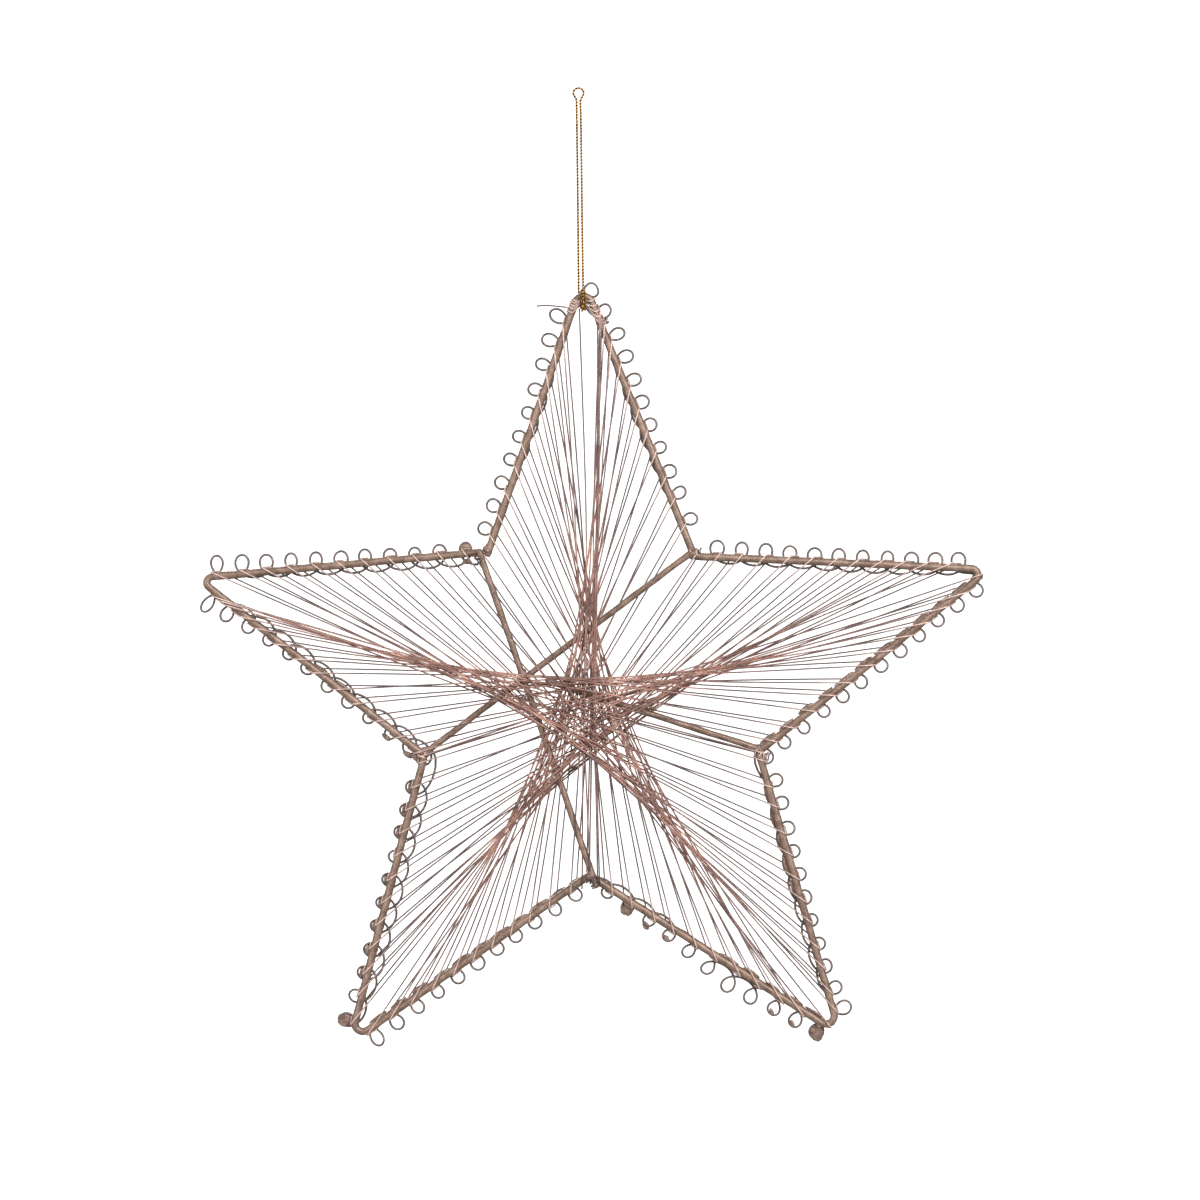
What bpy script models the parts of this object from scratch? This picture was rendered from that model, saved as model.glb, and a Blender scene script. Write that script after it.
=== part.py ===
# Star ornament of painted wire: a star frame with three struts, a looped trim wire fixed behind it,
# a fine wire wound across it, and a gold thread to hang it by.
# Metres, +Z up, front towards -Y. The origin is the top of the hanging loop.
import math

import bmesh
import bpy
from mathutils import Vector

OBJECT_NAME = "star_ornament"
GUIDE_COLLECTION = "guides"
GAP = 0.0003                    # clear space between neighbouring pieces
MERGE = 0.000001                # points closer than this are one point

# Star frame, bent from one rod. The radii reach to where the axes of two sides would meet.
STAR_POINTS = 5
STAR_CENTRE = Vector((0.0034, -0.1651))      # right and up from the top of the hanging loop
STAR_LEAN = math.radians(0.6)
POINT_RADIUS = 0.1127
INNER_RADIUS = 0.0478
POINT_BEND_RADIUS = 0.0026
INNER_BEND_RADIUS = 0.0016
ROD_DIAMETER = 0.0020
POINT_BEND_STEPS = 6
INNER_BEND_STEPS = 2
# The star was bent by hand: how far right and up each corner came out, clockwise from the top.
HAND_BENDS = (
    (-0.0010, 0.0004),
    (0.0002, -0.0003),
    (0.0008, -0.0008),
    (-0.0004, 0.0002),
    (0.0000, 0.0001),
    (-0.0010, 0.0003),
    (0.0001, -0.0008),
    (0.0003, 0.0002),
    (0.0012, -0.0009),
    (-0.0001, 0.0015),
)
UPPER_RIGHT, RIGHT, BOTTOM, LEFT, UPPER_LEFT = 1, 3, 5, 7, 9     # the inner corners

# Struts. The first lies on the front of the frame, the others lie in its plane.
STRUT_DIAMETER = 0.0018
STRUT_OVERLAP = 0.0026          # how far the front strut runs past the rod's axis at its ends

# Looped trim wire: a row of loops that cross themselves, joined by shallow arcs.
LOOPS_PER_SIDE = 11
LOOP_WIRE_DIAMETER = 0.0005
LOOP_HALF_WIDTH = 0.0031        # sideways swing of the wire, before its advance to the next loop
LOOP_HALF_HEIGHT = 0.0026
LOOP_SWAY = 0.0005              # the wire sways this much in depth, to pass itself at a crossing
LOOP_STAND_AT_POINT = 0.0019    # from the rod's axis out to a loop's middle
LOOP_STAND_AT_CORNER = 0.0010
LOOP_CORNER_DISTANCE = 0.0039   # from an inner corner to the first loop
LOOP_STEPS = 8

# Winding wire, wound between opposite sides of the star in the spaces between the loops.
WINDING_WIRE_DIAMETER = 0.0003
SPACES_PER_TURN = 2
TURN_STAGGER = 0.00002          # depth between the runs of one layer, so that they fuse cleanly
LIFT_REACH = 0.030              # how far from the front strut the runs rise to pass over it

# Hanging thread with its knot
THREAD_DIAMETER = 0.00065
THREAD_STEP = 2.7 * THREAD_DIAMETER
THREAD_ROUTE_MM = (
    (1.25, -2.42, -55.00),
    (1.27, -2.42, -53.80),
    (1.24, -2.30, -52.20),
    (1.18, -2.08, -49.00),
    (1.05, -1.62, -40.00),
    (0.90, -1.05, -28.00),
    (0.75, -0.52, -16.00),
    (0.62, -0.18, -8.00),
    (0.54, 0.00, -4.60),
    (0.58, 0.00, -3.20),
    (0.97, 0.00, -2.41),
    (1.40, 0.00, -1.40),
    (0.99, 0.00, -0.41),
    (0.00, 0.00, 0.00),
    (-0.99, 0.00, -0.41),
    (-1.40, 0.00, -1.40),
    (-0.97, 0.00, -2.41),
    (-0.58, 0.00, -3.20),
    (-0.52, 0.05, -4.60),
    (-0.47, 0.30, -8.00),
    (-0.36, 0.90, -16.00),
    (-0.22, 1.75, -28.00),
    (-0.10, 2.55, -40.00),
    (0.00, 3.20, -51.00),
    (0.03, 3.50, -55.80),
    (0.12, 3.45, -57.45),
    (0.30, 2.75, -58.55),
    (0.50, 1.70, -58.90),
    (0.70, 0.60, -58.95),
    (0.95, -0.75, -58.85),
)
KNOT_AXIS = Vector((0.00125, -0.00245))      # right and back
KNOT_TOP = -0.0554
KNOT_LUMP_RADII = (0.0009, 0.0011, 0.0009)
KNOT_WAIST_RADIUS = 0.0006
KNOT_LENGTH = 0.0045
KNOT_SIDES = 10
LUMP_STEPS = 3

# Finishes: colour, roughness, metallic
FRAME_PAINT = ("antique champagne paint", (0.190, 0.128, 0.090, 1.0), 0.45, 0.60)
TRIM_PAINT = ("champagne painted wire", (0.230, 0.160, 0.115, 1.0), 0.42, 0.65)
COPPER_WIRE = ("fine copper wire", (0.400, 0.190, 0.120, 1.0), 0.32, 1.00)
GOLD_THREAD = ("gold metallic thread", (0.560, 0.360, 0.110, 1.0), 0.38, 0.85)

# Sizes that follow from those above
ROD_RADIUS = ROD_DIAMETER / 2
STRUT_RADIUS = STRUT_DIAMETER / 2
THREE_SIDES = math.pi / (3 * math.sqrt(3))   # corner radius of a three-sided section of mean width 1
LOOP_WIRE_REACH = LOOP_WIRE_DIAMETER * THREE_SIDES
WINDING_REACH = WINDING_WIRE_DIAMETER * THREE_SIDES
TURN_OVERLAP = 1.7 * WINDING_REACH           # how far two turns run past each other where they meet
STRUT_DEPTH = -(ROD_RADIUS + GAP + STRUT_RADIUS)
TRIM_DEPTH = ROD_RADIUS + GAP + LOOP_WIRE_REACH + LOOP_SWAY
TRIM_BACK = TRIM_DEPTH + LOOP_SWAY + LOOP_WIRE_REACH
STRUT_LIFT = STRUT_DIAMETER + GAP
LOOPS_PER_POINT = 2 * LOOPS_PER_SIDE
TURNS_PER_WINDING = (LOOPS_PER_SIDE - 1) // SPACES_PER_TURN
LAYER_STEP = 2 * WINDING_REACH + TURNS_PER_WINDING * TURN_STAGGER + GAP


def clear_scene():
    for old in list(bpy.data.objects):
        bpy.data.objects.remove(old)
    for old in list(bpy.data.collections):
        bpy.data.collections.remove(old)


def new_collection(name):
    made = bpy.data.collections.new(name)
    bpy.context.scene.collection.children.link(made)
    return made


def finish_material(finish):
    name, colour, roughness, metallic = finish
    if name in bpy.data.materials:
        return bpy.data.materials[name]
    made = bpy.data.materials.new(name)
    made.use_nodes = True
    shader = made.node_tree.nodes["Principled BSDF"]
    shader.inputs["Base Color"].default_value = colour
    shader.inputs["Roughness"].default_value = roughness
    shader.inputs["Metallic"].default_value = metallic
    made.diffuse_color = colour
    return made


def in_space(flat, depth):
    # A place in the star's plane, right and up, set at a depth.
    return Vector((flat.x, depth, flat.y))


def poly_curve(name, points, cyclic=False):
    data = bpy.data.curves.new(name, "CURVE")
    data.dimensions = "3D"
    spline = data.splines.new("POLY")
    spline.points.add(len(points) - 1)
    for place, point in zip(spline.points, points):
        place.co = (*point, 1.0)
    spline.use_cyclic_u = cyclic
    return data


def round_wire(name, points, diameter, resolution, cyclic=False):
    data = poly_curve(name, points, cyclic)
    data.bevel_depth = diameter / 2
    data.bevel_resolution = resolution
    data.use_fill_caps = True
    return bpy.data.objects.new(name, data)


def three_sided_section(name, diameter, guides):
    # A guide outline for fine wire, as wide on average as the wire. It runs clockwise, so that the
    # faces along the wire point out.
    corners = []
    for number in range(3):
        angle = -2 * math.pi * number / 3
        corners.append(Vector((math.cos(angle), math.sin(angle), 0)) * diameter * THREE_SIDES)
    section = bpy.data.objects.new(name, poly_curve(name, corners, cyclic=True))
    guides.objects.link(section)
    section.hide_render = True
    section.display_type = "WIRE"
    return section


def fine_wire(name, points, section, cyclic=False):
    data = poly_curve(name, points, cyclic)
    data.bevel_mode = "OBJECT"
    data.bevel_object = section
    data.use_fill_caps = True
    return bpy.data.objects.new(name, data)


def to_mesh(curve_object, collection):
    # The curve as a closed mesh object of the same name.
    collection.objects.link(curve_object)
    bpy.context.view_layer.update()
    evaluated = curve_object.evaluated_get(bpy.context.evaluated_depsgraph_get())
    mesh = bpy.data.meshes.new_from_object(evaluated)
    name = curve_object.name
    bpy.data.objects.remove(curve_object)
    shape = bmesh.new()
    shape.from_mesh(mesh)
    bmesh.ops.remove_doubles(shape, verts=shape.verts, dist=MERGE)
    bmesh.ops.recalc_face_normals(shape, faces=shape.faces)
    shape.to_mesh(mesh)
    shape.free()
    made = bpy.data.objects.new(name, mesh)
    collection.objects.link(made)
    return made


def star_corners():
    # The ten sharp corners in the star's plane, clockwise from the top point.
    corners = []
    for number, bend in enumerate(HAND_BENDS):
        angle = math.pi / 2 + STAR_LEAN - number * math.pi / STAR_POINTS
        radius = INNER_RADIUS if number % 2 else POINT_RADIUS
        corners.append(STAR_CENTRE + Vector((math.cos(angle), math.sin(angle))) * radius + Vector(bend))
    return corners


def star_path(corners):
    # The rod's axis as bends and straight sides, each (start, heading, curvature, length).
    count = len(corners)
    sides = [corners[(i + 1) % count] - corners[i] for i in range(count)]
    headings = [math.atan2(side.y, side.x) for side in sides]
    turns = [math.remainder(headings[i] - headings[i - 1], math.tau) for i in range(count)]
    radii = [INNER_BEND_RADIUS if i % 2 else POINT_BEND_RADIUS for i in range(count)]
    reaches = [radii[i] * math.tan(abs(turns[i]) / 2) for i in range(count)]
    path = []
    for i in range(count):
        start = corners[i] - sides[i - 1].normalized() * reaches[i]
        curvature = math.copysign(1 / radii[i], turns[i])
        path.append((start, headings[i - 1], curvature, radii[i] * abs(turns[i])))
        start = corners[i] + sides[i].normalized() * reaches[i]
        path.append((start, headings[i], 0.0, sides[i].length - reaches[i] - reaches[(i + 1) % count]))
    return path


def path_length(path):
    return sum(piece[3] for piece in path)


def on_path(path, distance):
    # The place at a distance along the rod's axis, and the outward direction there.
    distance %= path_length(path)
    for start, heading, curvature, length in path:
        if distance <= length:
            break
        distance -= length
    turned = heading + curvature * distance
    if curvature:
        step = Vector((math.sin(turned) - math.sin(heading), math.cos(heading) - math.cos(turned)))
        step /= curvature
    else:
        step = Vector((math.cos(heading), math.sin(heading))) * distance
    return start + step, Vector((-math.sin(turned), math.cos(turned)))


def bend_middle(path, corner):
    # How far along the axis the middle of a corner's bend is. Corner -1 is the one before the top.
    before = sum(piece[3] for piece in path[:2 * (corner % len(HAND_BENDS))])
    whole_turns = corner // len(HAND_BENDS)
    return before + path[2 * (corner % len(HAND_BENDS))][3] / 2 + whole_turns * path_length(path)


def loop_places(path):
    # Where each loop stands along the rod, and how far out, clockwise from the upper left corner.
    places = []
    for point in range(STAR_POINTS):
        first = bend_middle(path, 2 * point - 1) + LOOP_CORNER_DISTANCE
        last = bend_middle(path, 2 * point + 1) - LOOP_CORNER_DISTANCE
        for number in range(LOOPS_PER_POINT):
            share = number / (LOOPS_PER_POINT - 1)
            towards_corner = abs(2 * share - 1)
            stand = LOOP_STAND_AT_POINT + (LOOP_STAND_AT_CORNER - LOOP_STAND_AT_POINT) * towards_corner
            places.append((first + (last - first) * share, stand))
    return places


def place_of_loop(places, path, number):
    # Loops are counted on past the last one, for a whole round more.
    distance, stand = places[number % len(places)]
    return distance + path_length(path) * (number // len(places)), stand


def frame_rod(path):
    points = []
    for number, (start, heading, curvature, length) in enumerate(path):
        if not curvature:
            continue
        steps = INNER_BEND_STEPS if number // 2 % 2 else POINT_BEND_STEPS
        before = sum(piece[3] for piece in path[:number])
        for step in range(steps + 1):
            flat, outward = on_path(path, before + length * step / steps)
            points.append(in_space(flat, 0))
    return round_wire("star_frame_rod", points, ROD_DIAMETER, 1, cyclic=True)


def strut_between(name, start, end, depth):
    return round_wire(name, [in_space(start, depth), in_space(end, depth)], STRUT_DIAMETER, 2)


def meeting(start_a, end_a, start_b, end_b):
    # Where the lines of two struts cross in the star's plane.
    along_a, along_b = end_a - start_a, end_b - start_b
    between = start_b - start_a
    share = between.cross(along_b) / along_a.cross(along_b)
    return start_a + along_a * share


def struts(path):
    corner = {number: on_path(path, bend_middle(path, number))[0]
              for number in (UPPER_RIGHT, RIGHT, BOTTOM, LEFT, UPPER_LEFT)}
    clear_of_rod = ROD_RADIUS + GAP
    down = (corner[BOTTOM] - corner[UPPER_LEFT]).normalized()
    first = strut_between("strut_1", corner[UPPER_LEFT] - down * STRUT_OVERLAP,
                          corner[BOTTOM] + down * STRUT_OVERLAP, STRUT_DEPTH)
    across = (corner[LEFT] - corner[UPPER_RIGHT]).normalized()
    second = strut_between("strut_2", corner[UPPER_RIGHT] + across * clear_of_rod,
                           corner[LEFT] - across * clear_of_rod, 0)
    crossing = meeting(corner[UPPER_LEFT], corner[BOTTOM], corner[UPPER_RIGHT], corner[LEFT])
    inwards = (crossing - corner[RIGHT]).normalized()
    slant = abs(inwards.cross(across))
    clear_of_strut = (STRUT_RADIUS + GAP + STRUT_RADIUS * abs(inwards.dot(across))) / slant
    third = strut_between("strut_3", corner[RIGHT] + inwards * clear_of_rod,
                          crossing - inwards * clear_of_strut, 0)
    return [first, second, third], corner


def trim_points(path, places):
    points = []
    for number in range(len(places)):
        here, stand = place_of_loop(places, path, number)
        ahead, stand_ahead = place_of_loop(places, path, number + 1)
        for step in range(LOOP_STEPS):
            share = step / LOOP_STEPS
            angle = math.tau * share
            flat, outward = on_path(path, here + (ahead - here) * share)
            forward = Vector((outward.y, -outward.x))
            out = stand + (stand_ahead - stand) * share + LOOP_HALF_HEIGHT * math.cos(angle)
            flat = flat + outward * out - forward * LOOP_HALF_WIDTH * math.sin(angle)
            points.append(in_space(flat, TRIM_DEPTH + LOOP_SWAY * math.sin(angle)))
    return points


def turning_place(path, places, space):
    # Where the winding wire turns round the rod, in the space after a loop.
    here = place_of_loop(places, path, space)[0]
    ahead = place_of_loop(places, path, space + 1)[0]
    flat, outward = on_path(path, (here + ahead) / 2)
    return flat + outward * (ROD_RADIUS + GAP + WINDING_REACH)


def strut_distance(flat, corner):
    # How far a place is to the side of the front strut's axis.
    down = (corner[BOTTOM] - corner[UPPER_LEFT]).normalized()
    return down.cross(flat - corner[UPPER_LEFT])


def front_place(flat, depth, corner):
    # A place on a front run, which rises over the front strut.
    nearness = max(0, 1 - abs(strut_distance(flat, corner)) / LIFT_REACH)
    return in_space(flat, -(depth + STRUT_LIFT * nearness))


def front_run(start, end, depth, corner):
    # A run across the front, bent where its rise starts, turns and ends.
    from_strut, to_strut = strut_distance(start, corner), strut_distance(end, corner)
    shares = [(edge - from_strut) / (to_strut - from_strut) for edge in (-LIFT_REACH, 0, LIFT_REACH)]
    shares = [0] + sorted(share for share in shares if 0 < share < 1) + [1]
    return [front_place(start.lerp(end, share), depth, corner) for share in shares]


def winding(number, path, places, corner, section, guides):
    # One winding joins a side to the side opposite, and its turns are fused where they cross.
    half_round = LOOPS_PER_SIDE * STAR_POINTS
    first_space = LOOPS_PER_SIDE * (number + 1)
    front = ROD_RADIUS + GAP + WINDING_REACH + LAYER_STEP * number
    back = TRIM_BACK + GAP + WINDING_REACH + LAYER_STEP * (STAR_POINTS - 1 - number)
    name = f"winding_wire_{number + 1}"
    turns = []
    for turn in range(TURNS_PER_WINDING):
        space = first_space + turn * SPACES_PER_TURN
        near = turning_place(path, places, space)
        far = turning_place(path, places, space + half_round)
        stagger = TURN_STAGGER * turn
        start = near - (far - near).normalized() * TURN_OVERLAP
        points = front_run(start, far, front + stagger, corner)
        points.append(in_space(far, back + stagger))
        if turn < TURNS_PER_WINDING - 1:
            after = turning_place(path, places, space + SPACES_PER_TURN)
            points.append(in_space(after, back + stagger))
            points.append(front_place(after, front + TURN_OVERLAP, corner))
        turns.append(to_mesh(fine_wire(f"{name}_turn_{turn + 1}", points, section), guides))
    joined = turns[0]
    joined.name = name
    guides.objects.unlink(joined)
    for turn in turns[1:]:
        turn.hide_render = True
        turn.display_type = "WIRE"
        fuse = joined.modifiers.new("fuse turn", "BOOLEAN")
        fuse.operation = "UNION"
        fuse.solver = "EXACT"
        fuse.object = turn
    return joined


def between_points(before, start, end, after, share):
    # A smooth curve from start to end that also heeds the points on either side.
    return 0.5 * (
        2 * start
        + (end - before) * share
        + (2 * before - 5 * start + 4 * end - after) * share ** 2
        + (3 * start - before - 3 * end + after) * share ** 3
    )


def smooth_route(route, spacing):
    # Points at an even spacing on a smooth curve through the route.
    route = [Vector(point) / 1000 for point in route]
    padded = [2 * route[0] - route[1]] + route + [2 * route[-1] - route[-2]]
    fine_steps = 40
    fine = []
    for i in range(len(route) - 1):
        for step in range(fine_steps):
            fine.append(between_points(*padded[i:i + 4], step / fine_steps))
    fine.append(route[-1])
    lengths = [0.0]
    for before, here in zip(fine, fine[1:]):
        lengths.append(lengths[-1] + (here - before).length)
    count = round(lengths[-1] / spacing)
    points = []
    at = 0
    for number in range(count + 1):
        wanted = lengths[-1] * number / count
        while at < len(fine) - 2 and lengths[at + 1] < wanted:
            at += 1
        share = (wanted - lengths[at]) / (lengths[at + 1] - lengths[at])
        points.append(fine[at].lerp(fine[at + 1], share))
    return points


def hanging_thread():
    return round_wire("hanging_thread", smooth_route(THREAD_ROUTE_MM, THREAD_STEP), THREAD_DIAMETER, 2)


def hanging_knot():
    # Lumps, one under the other, turned round the thread's end.
    outline = [Vector((0, 0, KNOT_TOP))]
    lump_length = KNOT_LENGTH / len(KNOT_LUMP_RADII)
    for number, radius in enumerate(KNOT_LUMP_RADII):
        for step in range(1, LUMP_STEPS):
            share = step / LUMP_STEPS
            swell = math.sin(math.pi * share)
            outline.append(Vector((
                KNOT_WAIST_RADIUS + (radius - KNOT_WAIST_RADIUS) * swell,
                0,
                KNOT_TOP - lump_length * (number + share),
            )))
    outline.append(Vector((0, 0, KNOT_TOP - KNOT_LENGTH)))
    mesh = bpy.data.meshes.new("hanging_knot")
    mesh.from_pydata(outline, [(i, i + 1) for i in range(len(outline) - 1)], [])
    knot = bpy.data.objects.new("hanging_knot", mesh)
    knot.location = (KNOT_AXIS.x, KNOT_AXIS.y, 0)
    turned = knot.modifiers.new("turned", "SCREW")
    turned.steps = KNOT_SIDES
    turned.render_steps = KNOT_SIDES
    turned.use_merge_vertices = True
    turned.merge_threshold = MERGE
    return knot


def add_part(part, collection, finish, star):
    part.data.materials.clear()
    part.data.materials.append(finish_material(finish))
    collection.objects.link(part)
    part.parent = star


def build_star_ornament():
    clear_scene()
    parts = new_collection(OBJECT_NAME)
    guides = new_collection(GUIDE_COLLECTION)
    star = bpy.data.objects.new("hanging_point", None)
    parts.objects.link(star)

    path = star_path(star_corners())
    places = loop_places(path)
    add_part(frame_rod(path), parts, FRAME_PAINT, star)
    rods, corner = struts(path)
    for rod in rods:
        add_part(rod, parts, FRAME_PAINT, star)

    trim_section = three_sided_section("trim_section", LOOP_WIRE_DIAMETER, guides)
    trim = fine_wire("looped_trim_wire", trim_points(path, places), trim_section, cyclic=True)
    add_part(trim, parts, TRIM_PAINT, star)

    winding_section = three_sided_section("winding_section", WINDING_WIRE_DIAMETER, guides)
    for number in range(STAR_POINTS):
        wound = winding(number, path, places, corner, winding_section, guides)
        add_part(wound, parts, COPPER_WIRE, star)

    add_part(hanging_thread(), parts, GOLD_THREAD, star)
    add_part(hanging_knot(), parts, GOLD_THREAD, star)


build_star_ornament()
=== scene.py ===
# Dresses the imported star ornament: the painted frame rod and struts, the looped trim wire with its
# paint, the fine copper winding, and the gold thread with its knot. Lengths are in millimetres,
# and places on the star are right and up from the top of the hanging loop.
import bisect
import math
import random

import bmesh
import bpy
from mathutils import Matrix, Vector, kdtree, noise


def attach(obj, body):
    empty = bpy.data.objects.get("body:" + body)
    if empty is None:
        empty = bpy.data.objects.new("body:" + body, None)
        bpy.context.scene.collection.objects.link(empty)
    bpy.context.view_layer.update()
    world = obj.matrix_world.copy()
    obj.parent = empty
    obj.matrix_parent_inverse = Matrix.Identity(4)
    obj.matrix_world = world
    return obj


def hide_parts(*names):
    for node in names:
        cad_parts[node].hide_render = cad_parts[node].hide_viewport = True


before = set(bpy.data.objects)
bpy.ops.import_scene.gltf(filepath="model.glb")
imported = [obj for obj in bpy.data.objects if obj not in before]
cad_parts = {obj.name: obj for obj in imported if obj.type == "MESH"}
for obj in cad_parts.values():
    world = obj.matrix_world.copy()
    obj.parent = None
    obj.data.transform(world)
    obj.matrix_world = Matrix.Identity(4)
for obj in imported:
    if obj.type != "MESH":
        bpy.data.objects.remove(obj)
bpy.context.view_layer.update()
bpy.ops.object.select_all(action="DESELECT")
random.seed(7)

mm = 0.001
photo = {
    "mmPerPixel": 0.27,              # from the wires
    "hangingPoint": (578.5, 88.0),   # where the top of the thread's loop would be
    "middle": (600.0, 600.0),
    "width": 1200,
}


def fromPhoto(right, down):
    # A place in the star's plane from a pixel of the photograph.
    originX, originY = photo["hangingPoint"]
    return Vector((right - originX, originY - down)) * photo["mmPerPixel"]


def placed(flat, depth):
    # A place in Blender's metres, from right, up and how far back.
    return Vector((flat.x, depth, flat.y)) * mm


# Camera

camera = {"distance": 1200.0, "sensor": 36.0, "clipEnd": 20}      # clipEnd in metres


def addCamera():
    middle = fromPhoto(*photo["middle"])
    shownWidth = photo["width"] * photo["mmPerPixel"]
    bpy.ops.object.camera_add(location=placed(middle, -camera["distance"]), rotation=(math.pi / 2, 0, 0))
    bpy.context.scene.view_settings.view_transform = "Standard"      # white stays white, as in a catalogue
    made = bpy.context.object
    made.data.sensor_width = camera["sensor"]
    made.data.lens = camera["sensor"] * camera["distance"] / shownWidth
    made.data.clip_end = camera["clipEnd"]
    bpy.context.scene.camera = made


addCamera()
print("camera: straight in front of the star")


# Materials

def linear(hexColour):
    # An sRGB hex colour as linear red, green, blue and full cover.
    channels = [int(hexColour[i:i + 2], 16) / 255 for i in (1, 3, 5)]
    return (*[c / 12.92 if c <= 0.04045 else ((c + 0.055) / 1.055) ** 2.4 for c in channels], 1.0)


def addNode(tree, kind, settings=None, **links):
    # Settings are the node's own values, and links are its inputs: a value, or another node's output.
    node = tree.nodes.new(kind)
    for name, value in (settings or {}).items():
        setattr(node, name, value)
    for name, value in links.items():
        socket = node.inputs[int(name[1:]) if name[0] == "i" and name[1:].isdigit() else name]
        if isinstance(value, bpy.types.NodeSocket):
            tree.links.new(value, socket)
        else:
            socket.default_value = value
    return node


def newMaterial(name, metallic, roughness):
    made = bpy.data.materials.new(name)
    made.use_nodes = True
    tree = made.node_tree
    shader = tree.nodes["Principled BSDF"]
    shader.inputs["Metallic"].default_value = metallic
    shader.inputs["Roughness"].default_value = roughness
    return made, tree, shader


def colourSteps(tree, factor, places, *colours):
    # A ramp through colours, each at its place from 0 to 1.
    ramp = addNode(tree, "ShaderNodeValToRGB", None, i0=factor)
    elements = ramp.color_ramp.elements
    for number, (place, colour) in enumerate(zip(places, colours)):
        element = elements[number] if number < 2 else elements.new(place)
        element.position = place
        element.color = linear(colour)
    return ramp.outputs["Color"]


# Champagne metallic paint, dipped over steel wire: thin and uneven, so it pools darker in the
# hollows, catches light on its fine flakes and leaves small runs and pits.
framePaint = {"high": "#A3897B", "middle": "#887061", "low": "#6B564A", "flake": 0.3, "pool": 2.4,
              "roughness": 0.42}
# What the three paints share.
anyPaint = {"metallic": 0.3, "poolRoughness": 0.55, "flakeShare": 0.32, "smoother": 0.12,
            "rougher": 0.14, "grainDepth": 0.08, "grainStrength": 0.5, "steps": (0.36, 0.50, 0.66)}


def paintOnWire(name, look):
    made, tree, shader = newMaterial(name, anyPaint["metallic"], look["roughness"])
    where = addNode(tree, "ShaderNodeTexCoord").outputs["Object"]
    pools = addNode(tree, "ShaderNodeTexNoise", None, Vector=where, Scale=1 / (look["pool"] * mm),
                    Detail=4.0, Roughness=anyPaint["poolRoughness"])
    flakes = addNode(tree, "ShaderNodeTexNoise", None, Vector=where, Scale=1 / (look["flake"] * mm),
                     Detail=2.0)
    both = addNode(tree, "ShaderNodeMix", {"data_type": "FLOAT"}, i0=anyPaint["flakeShare"],
                   i2=pools.outputs["Fac"], i3=flakes.outputs["Fac"])
    colour = colourSteps(tree, both.outputs[0], anyPaint["steps"], look["low"], look["middle"],
                         look["high"])
    tree.links.new(colour, shader.inputs["Base Color"])
    dull = addNode(tree, "ShaderNodeMapRange", None, Value=pools.outputs["Fac"])
    dull.inputs["To Min"].default_value = look["roughness"] - anyPaint["smoother"]
    dull.inputs["To Max"].default_value = look["roughness"] + anyPaint["rougher"]
    tree.links.new(dull.outputs["Result"], shader.inputs["Roughness"])
    grain = addNode(tree, "ShaderNodeBump", None, Height=both.outputs[0],
                    Distance=anyPaint["grainDepth"] * mm, Strength=anyPaint["grainStrength"])
    tree.links.new(grain.outputs["Normal"], shader.inputs["Normal"])
    return made


framePaintOnSteel = paintOnWire("champagne paint on steel rod", framePaint)

# The same paint on the thin trim wire, where it is thinner and the dark steel shows through.
trimPaint = {"high": "#857873", "middle": "#6D615D", "low": "#524845", "flake": 0.3, "pool": 1.8,
             "roughness": 0.42}
trimPaintOnWire = paintOnWire("champagne paint on thin wire", trimPaint)

# Dried paint in the loops and corners, thicker, so more even and with more sheen.
fillPaint = {"high": "#A5877A", "middle": "#80685C", "low": "#5C4A42", "flake": 0.25, "pool": 1.4,
             "roughness": 0.38}
driedPaint = paintOnWire("dried champagne paint", fillPaint)

# Drawn copper wire with a rose tone. Painted shade makes it grey and dull where one wire hangs free,
# painted light makes it rosier where many lie together, and a painted highlight brightens it where it
# is pulled tight round the rod.
copperWire = {"shadedFreeHigh": "#857573", "free": "#6C5D5B", "shadedFreeDull": "#524646",
              "high": "#CBA192", "middle": "#967166", "dull": "#695048", "paintedHighlight": "#E3C5B9",
              "stretch": 7.0, "grain": 0.35, "grainShare": 0.35, "metallic": 0.4, "roughness": 0.45,
              "smoothest": 0.36, "roughest": 0.56, "steps": (0.34, 0.50, 0.66)}


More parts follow.
